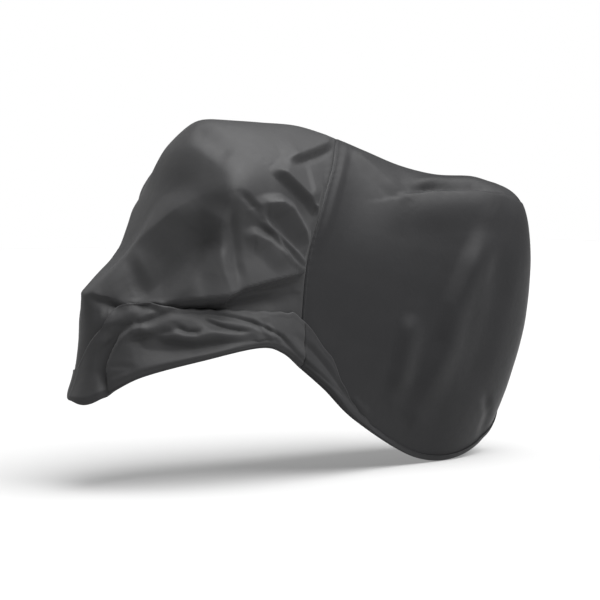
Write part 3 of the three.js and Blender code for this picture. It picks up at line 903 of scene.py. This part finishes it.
@dataclass(frozen=True)
class CoatedCloth:
    """Coated polyester cloth: a fine plain weave under a film with a soft gloss."""

    name: str
    colour: tuple[float, float, float]
    underside: tuple[float, float, float]
    roughness: float = 0.5
    gloss_spread: tuple[float, float] = (0.06, 0.08)
    specular: float = 0.14
    sheen: float = 0.05
    sheen_roughness: float = 0.4
    weave_pitch: float = 0.0011
    weave_bump: float = 0.10
    weave_depth: float = 0.0002
    mottle: float = 0.12
    mottle_scale: float = 7.0
    film_scale: float = 38.0
    crumple_scale: float = 26.0
    crumple_bump: float = 0.18
    crumple_depth: float = 0.004

    def material(self) -> bpy.types.Material:
        """Builds the cloth's material.

        Returns:
            The material.
        """
        made = bpy.data.materials.new(self.name)
        made.use_nodes = True
        tree = made.node_tree
        tree.nodes.clear()
        new, link = tree.nodes.new, tree.links.new
        out = new("ShaderNodeOutputMaterial")
        shader = add_node(tree, "ShaderNodeBsdfPrincipled", Specular_IOR_Level=self.specular,
                          Sheen_Weight=self.sheen, Sheen_Roughness=self.sheen_roughness)
        link(shader.outputs["BSDF"], out.inputs["Surface"])
        uv = new("ShaderNodeUVMap")
        uv.uv_map = "cloth"
        place = new("ShaderNodeTexCoord")

        slow = add_node(tree, "ShaderNodeTexNoise", Scale=self.mottle_scale, Detail=3.0)
        shade = add_node(tree, "ShaderNodeMapRange", To_Min=1 - self.mottle, To_Max=1 + self.mottle)
        link(place.outputs["Object"], slow.inputs["Vector"])
        link(slow.outputs["Fac"], shade.inputs["Value"])
        tint, both = new("ShaderNodeMix"), new("ShaderNodeMix")
        for mix in (tint, both):
            mix.data_type = "RGBA"
        tint.blend_type = "MULTIPLY"
        tint.inputs["Factor"].default_value = 1.0
        side = new("ShaderNodeAttribute")
        side.attribute_name = "underside"
        both.inputs["A"].default_value = (*self.colour, 1)
        both.inputs["B"].default_value = (*self.underside, 1)
        link(side.outputs["Fac"], both.inputs["Factor"])
        link(both.outputs["Result"], tint.inputs["A"])
        link(shade.outputs["Result"], tint.inputs["B"])
        link(tint.outputs["Result"], shader.inputs["Base Color"])

        film = add_node(tree, "ShaderNodeTexNoise", Scale=self.film_scale, Detail=4.0)
        gloss = add_node(tree, "ShaderNodeMapRange", To_Min=self.roughness - self.gloss_spread[0],
                         To_Max=self.roughness + self.gloss_spread[1])
        link(place.outputs["Object"], film.inputs["Vector"])
        link(film.outputs["Fac"], gloss.inputs["Value"])
        link(gloss.outputs["Result"], shader.inputs["Roughness"])

        heights = []
        for direction in ("X", "Y"):
            threads = add_node(tree, "ShaderNodeTexWave", Scale=math.pi / self.weave_pitch / 10)
            threads.wave_type = "BANDS"
            threads.bands_direction = direction
            threads.wave_profile = "SIN"
            link(uv.outputs["UV"], threads.inputs["Vector"])
            heights.append(threads)
        weave = new("ShaderNodeMath")
        weave.operation = "MULTIPLY"
        link(heights[0].outputs["Fac"], weave.inputs[0])
        link(heights[1].outputs["Fac"], weave.inputs[1])
        fine = add_node(tree, "ShaderNodeBump", Strength=self.weave_bump, Distance=self.weave_depth)
        link(weave.outputs["Value"], fine.inputs["Height"])
        crumple = add_node(tree, "ShaderNodeTexNoise", Scale=self.crumple_scale, Detail=5.0,
                           Distortion=0.6)
        link(place.outputs["Object"], crumple.inputs["Vector"])
        broad = add_node(tree, "ShaderNodeBump", Strength=self.crumple_bump,
                         Distance=self.crumple_depth)
        link(crumple.outputs["Fac"], broad.inputs["Height"])
        link(fine.outputs["Normal"], broad.inputs["Normal"])
        link(broad.outputs["Normal"], shader.inputs["Normal"])
        return made


@dataclass(frozen=True)
class SewingThread:
    """Polyester thread of the same grey as the cloth, a little lighter."""

    name: str = "sewing_thread"
    colour: tuple[float, float, float] = (0.045, 0.045, 0.047)
    contrast: float = 0.3
    strand_scale: float = 900.0

    def material(self) -> bpy.types.Material:
        """Builds the thread's material.

        Returns:
            The material.
        """
        made = bpy.data.materials.new(self.name)
        made.use_nodes = True
        tree = made.node_tree
        shader = tree.nodes["Principled BSDF"]
        shader.inputs["Roughness"].default_value = 0.6
        place = tree.nodes.new("ShaderNodeTexCoord")
        strands = add_node(tree, "ShaderNodeTexNoise", Scale=self.strand_scale)
        tree.links.new(place.outputs["Object"], strands.inputs["Vector"])
        ramp = tree.nodes.new("ShaderNodeValToRGB")
        for stop, share in zip(ramp.color_ramp.elements, (1 - self.contrast, 1 + self.contrast)):
            stop.color = (*(c * share for c in self.colour), 1)
        tree.links.new(strands.outputs["Fac"], ramp.inputs["Fac"])
        tree.links.new(ramp.outputs["Color"], shader.inputs["Base Color"])
        return made


@dataclass(frozen=True)
class StitchLine:
    """A line of lockstitches laid along a guide by Geometry Nodes, in metres."""

    name: str
    closed: bool
    length: float = 0.0035
    gap: float = 0.0010
    thickness: float = 0.0009
    unevenness: float = 0.08
    sides: int = 6
    rings: int = 5
    seed: int = 11

    def nodes(self, thread: bpy.types.Material) -> tuple[bpy.types.NodeTree, dict[str, str]]:
        """Builds the node group.

        Args:
            thread: the stitches' material.

        Returns:
            The group, and the identifier of each of its named inputs.
        """
        group = bpy.data.node_groups.new(f"{self.name}_nodes", "GeometryNodeTree")
        face = group.interface
        face.new_socket(name="Guide", in_out="INPUT", socket_type="NodeSocketGeometry")
        found = {}
        for label in ("Stitch Length", "Gap", "Thickness", "Unevenness"):
            socket = face.new_socket(name=label, in_out="INPUT", socket_type="NodeSocketFloat")
            found[label] = socket.identifier
        face.new_socket(name="Stitches", in_out="OUTPUT", socket_type="NodeSocketGeometry")
        put, link = group.nodes.new, group.links.new
        given, result = put("NodeGroupInput"), put("NodeGroupOutput")
        curve = put("GeometryNodeMeshToCurve")
        spaced = put("GeometryNodeResampleCurve")
        spaced.mode = "LENGTH"
        pitch = put("ShaderNodeMath")
        pitch.operation = "ADD"
        link(given.outputs["Guide"], curve.inputs["Mesh"])
        link(given.outputs["Stitch Length"], pitch.inputs[0])
        link(given.outputs["Gap"], pitch.inputs[1])
        link(curve.outputs["Curve"], spaced.inputs["Curve"])
        link(pitch.outputs[0], spaced.inputs["Length"])
        ball = add_node(group, "GeometryNodeMeshUVSphere", Segments=self.sides, Rings=self.rings,
                        Radius=0.5)
        shape = put("ShaderNodeCombineXYZ")
        link(given.outputs["Thickness"], shape.inputs["X"])
        link(given.outputs["Thickness"], shape.inputs["Y"])
        link(given.outputs["Stitch Length"], shape.inputs["Z"])
        stretched = put("GeometryNodeTransform")
        link(ball.outputs["Mesh"], stretched.inputs["Geometry"])
        link(shape.outputs["Vector"], stretched.inputs["Scale"])
        way = put("GeometryNodeInputTangent")
        turned = put("FunctionNodeAlignRotationToVector")
        turned.axis = "Z"
        link(way.outputs["Tangent"], turned.inputs["Vector"])
        least, most, size = put("ShaderNodeMath"), put("ShaderNodeMath"), put("FunctionNodeRandomValue")
        least.operation = "SUBTRACT"
        least.inputs[0].default_value = 1.0
        most.inputs[0].default_value = 1.0
        link(given.outputs["Unevenness"], least.inputs[1])
        link(given.outputs["Unevenness"], most.inputs[1])
        size.data_type = "FLOAT"
        size.inputs["Seed"].default_value = self.seed
        link(least.outputs[0], size.inputs[2])
        link(most.outputs[0], size.inputs[3])
        placed = put("GeometryNodeInstanceOnPoints")
        link(spaced.outputs["Curve"], placed.inputs["Points"])
        link(stretched.outputs["Geometry"], placed.inputs["Instance"])
        link(turned.outputs["Rotation"], placed.inputs["Rotation"])
        link(size.outputs[1], placed.inputs["Scale"])
        real = put("GeometryNodeRealizeInstances")
        painted = add_node(group, "GeometryNodeSetMaterial", Material=thread)
        link(placed.outputs["Instances"], real.inputs["Geometry"])
        link(real.outputs["Geometry"], painted.inputs["Geometry"])
        link(painted.outputs["Geometry"], result.inputs["Stitches"])
        return group, found

    def build(self, guide: np.ndarray, thread: bpy.types.Material) -> bpy.types.Object:
        """Sews along the guide.

        Args:
            guide: points along it, in metres.
            thread: the stitches' material.

        Returns:
            The stitches, as one plain mesh.
        """
        count = len(guide)
        edges = [(k, k + 1) for k in range(count - 1)]
        edges += [(count - 1, 0)] if self.closed else []
        line = bpy.data.meshes.new(f"{self.name}_guide")
        line.from_pydata(guide.tolist(), edges, [])
        made = add_object(self.name, line)
        sewing = made.modifiers.new("sewing", "NODES")
        group, found = self.nodes(thread)
        sewing.node_group = group
        sewing[found["Stitch Length"]] = self.length
        sewing[found["Gap"]] = self.gap
        sewing[found["Thickness"]] = self.thickness
        sewing[found["Unevenness"]] = self.unevenness
        seen = made.evaluated_get(bpy.context.evaluated_depsgraph_get())
        stitches = bpy.data.meshes.new_from_object(seen)
        made.modifiers.remove(sewing)
        made.data = stitches
        stitches.name = self.name
        stitches.shade_smooth()
        bpy.data.meshes.remove(line)
        return made


@dataclass(frozen=True)
class SoftSun:
    """One distant soft light.

    Attributes:
        name: its name.
        towards: the direction in which it stands.
        strength: its strength in watts a square metre.
        spread: how wide it looks, in degrees.
    """

    name: str
    towards: tuple[float, float, float]
    strength: float
    spread: float

    def build(self) -> bpy.types.Object:
        """Makes the light.

        Returns:
            The light.
        """
        data = bpy.data.lights.new(self.name, "SUN")
        data.energy = self.strength
        data.angle = math.radians(self.spread)
        made = add_object(self.name, data)
        made.rotation_euler = Vector(self.towards).to_track_quat("Z", "Y").to_euler()
        return made


@dataclass
class Studio:
    """A plain pale floor, a white surround, soft lights, and the camera at the photograph's angle."""

    azimuth: float = math.radians(-36)
    distance: float = 7.5
    eye_height: float = 1.0387
    target: Vector = field(default_factory=lambda: Vector((-0.044, 0.013, 0.6527)))
    lens: float = 115.5
    sensor: float = 36.0
    floor_half: float = 30.0
    floor_grey: float = 0.33
    floor_glow: float = 0.24
    ambient: float = 0.03
    suns: tuple[SoftSun, ...] = (
        SoftSun("top_light", (0.26, -0.32, 0.95), 8.0, 70),
        SoftSun("far_light", (-0.4, 0.7, 0.7), 1.0, 60),
    )

    def camera(self) -> bpy.types.Object:
        """Puts the camera in place.

        Returns:
            The camera.
        """
        data = bpy.data.cameras.new("camera")
        data.lens = self.lens
        data.sensor_width = self.sensor
        data.clip_end = 200
        made = add_object("camera", data)
        back = Vector((math.sin(self.azimuth), -math.cos(self.azimuth), 0)) * self.distance
        made.location = Vector((self.target.x, self.target.y, self.eye_height)) + Vector((back.x, back.y, 0))
        made.rotation_euler = (self.target - made.location).to_track_quat("-Z", "Y").to_euler()
        bpy.context.scene.camera = made
        return made

    def floor(self) -> bpy.types.Object:
        """Makes the pale floor.

        Returns:
            The floor.
        """
        h = self.floor_half
        mesh = bpy.data.meshes.new("floor")
        mesh.from_pydata([(-h, -h, 0), (h, -h, 0), (h, h, 0), (-h, h, 0)], [], [(0, 1, 2, 3)])
        made = add_object("floor", mesh)
        paint = bpy.data.materials.new("floor_paint")
        paint.use_nodes = True
        shader = paint.node_tree.nodes["Principled BSDF"]
        shader.inputs["Base Color"].default_value = (*[self.floor_grey] * 3, 1)
        shader.inputs["Roughness"].default_value = 0.9
        shader.inputs["Specular IOR Level"].default_value = 0.1
        shader.inputs["Emission Color"].default_value = (1, 1, 1, 1)
        shader.inputs["Emission Strength"].default_value = self.floor_glow
        mesh.materials.append(paint)
        return made

    def surround(self) -> None:
        """A world that shows white behind the cover, and lights it dimly."""
        world = bpy.data.worlds.new("surround")
        world.use_nodes = True
        tree = world.node_tree
        tree.nodes.clear()
        out = tree.nodes.new("ShaderNodeOutputWorld")
        mix = tree.nodes.new("ShaderNodeMixShader")
        seen = add_node(tree, "ShaderNodeBackground", Strength=1.0, Color=(1, 1, 1, 1))
        lit = add_node(tree, "ShaderNodeBackground", Strength=self.ambient, Color=(1, 1, 1, 1))
        path = tree.nodes.new("ShaderNodeLightPath")
        tree.links.new(path.outputs["Is Camera Ray"], mix.inputs[0])
        tree.links.new(lit.outputs[0], mix.inputs[1])
        tree.links.new(seen.outputs[0], mix.inputs[2])
        tree.links.new(mix.outputs[0], out.inputs["Surface"])
        bpy.context.scene.world = world

    def build(self) -> None:
        """Sets up the whole studio."""
        self.camera()
        self.floor()
        self.surround()
        for sun in self.suns:
            sun.build()
        bpy.context.scene.view_settings.view_transform = "Standard"


def carry(piece: bpy.types.Object, material: bpy.types.Material) -> bpy.types.Object:
    """Gives a piece its material and lets it ride on the cover's body.

    Args:
        piece: the piece.
        material: its only material.

    Returns:
        The piece.
    """
    piece.data.materials.clear()
    piece.data.materials.append(material)
    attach(piece, BODY)
    return piece


def main() -> None:
    """Builds the studio, the cloth and its stitching, in that order."""
    logging.basicConfig(level=logging.INFO, format="%(message)s")
    Studio().build()
    cloth = CoverCloth(Drape())
    panels = cloth.build()
    front_finish = CoatedCloth("front_cloth_coated", (0.034, 0.034, 0.035), (0.034, 0.034, 0.035))
    # The rear panel is the same cloth as the front with about half its colour, outside and inside: painted
    # shade for the rear, which faces away from the light.
    rear_shaded_copy = CoatedCloth("rear_cloth_painted_shade", (0.017, 0.017, 0.018), (0.022, 0.022, 0.023))
    front = carry(panels[Panel.FRONT], front_finish.material())
    rear = carry(panels[Panel.REAR], rear_shaded_copy.material())
    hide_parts(Panel.FRONT.value)
    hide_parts(Panel.REAR.value)
    thread = SewingThread().material()
    seam = carry(StitchLine("seam_stitches", False).build(cloth.guides["seam"], thread), thread)
    hem = carry(StitchLine("hem_stitches", True).build(cloth.guides["hem"], thread), thread)
    for piece in (front, rear, seam, hem):
        LOG.info("%s: %d faces", piece.name, len(piece.data.polygons))


if __name__ == "__main__":
    main()
